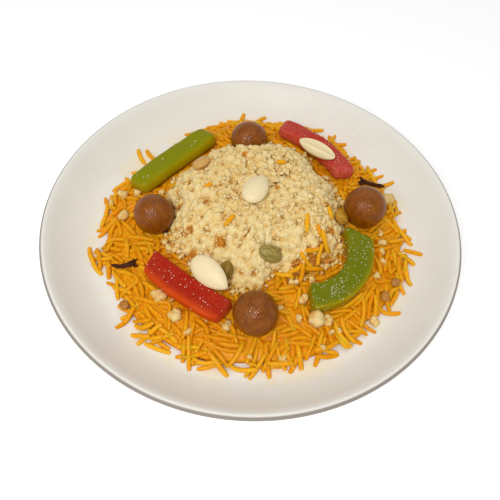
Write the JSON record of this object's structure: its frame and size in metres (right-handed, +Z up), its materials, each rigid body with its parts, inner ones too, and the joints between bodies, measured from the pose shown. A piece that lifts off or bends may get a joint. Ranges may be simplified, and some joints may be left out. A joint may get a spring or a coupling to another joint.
{
  "type": "zarda",
  "caption": "Sweet saffron rice on a round stoneware plate, with crumbled khoya, small gulab jamun, candied fruit strips, almonds, raisins and cloves.",
  "frame": {"origin": "under the middle of the plate, on the surface that its foot stands on", "axes": "+Z up through the middle of the plate; the picture looks along +Y, with +X to its right"},
  "size_m": [0.2098, 0.2098, 0.0402],
  "materials": {
    "stoneware": "off-white satin glaze on stoneware, with fine dark specks and a thin darker edge",
    "saffron_rice": "moist long-grain rice, yellow-orange with saffron",
    "khoya": "dry cream-coloured milk crumble",
    "gulab_jamun": "brown fried milk balls, moist with syrup",
    "candied_green": "green candied fruit, satin, with sugar crystals",
    "candied_red": "red candied fruit, satin, with sugar crystals",
    "almond": "cream blanched almond",
    "raisin": "golden, green and amber raisins, wrinkled and moist",
    "clove": "dark brown dried clove"
  },
  "bodies": {
    "root": {"plate": "stoneware", "rice": "saffron_rice", "khoya": "khoya", "gulab_jamun_front": "gulab_jamun", "gulab_jamun_left": "gulab_jamun", "gulab_jamun_right": "gulab_jamun", "gulab_jamun_back": "gulab_jamun", "candied_green_left": "candied_green", "candied_green_right": "candied_green", "candied_red_left": "candied_red", "candied_red_right": "candied_red", "almond_top": "almond", "almond_side": "almond", "almond_half": "almond", "raisin_tan": "raisin", "raisin_green": "raisin", "raisin_golden": "raisin", "raisin_olive": "raisin", "raisin_amber_back": "raisin", "raisin_amber_front": "raisin", "raisin_brown": "raisin", "clove_left": "clove", "clove_right": "clove"}
  },
  "joints": []
}
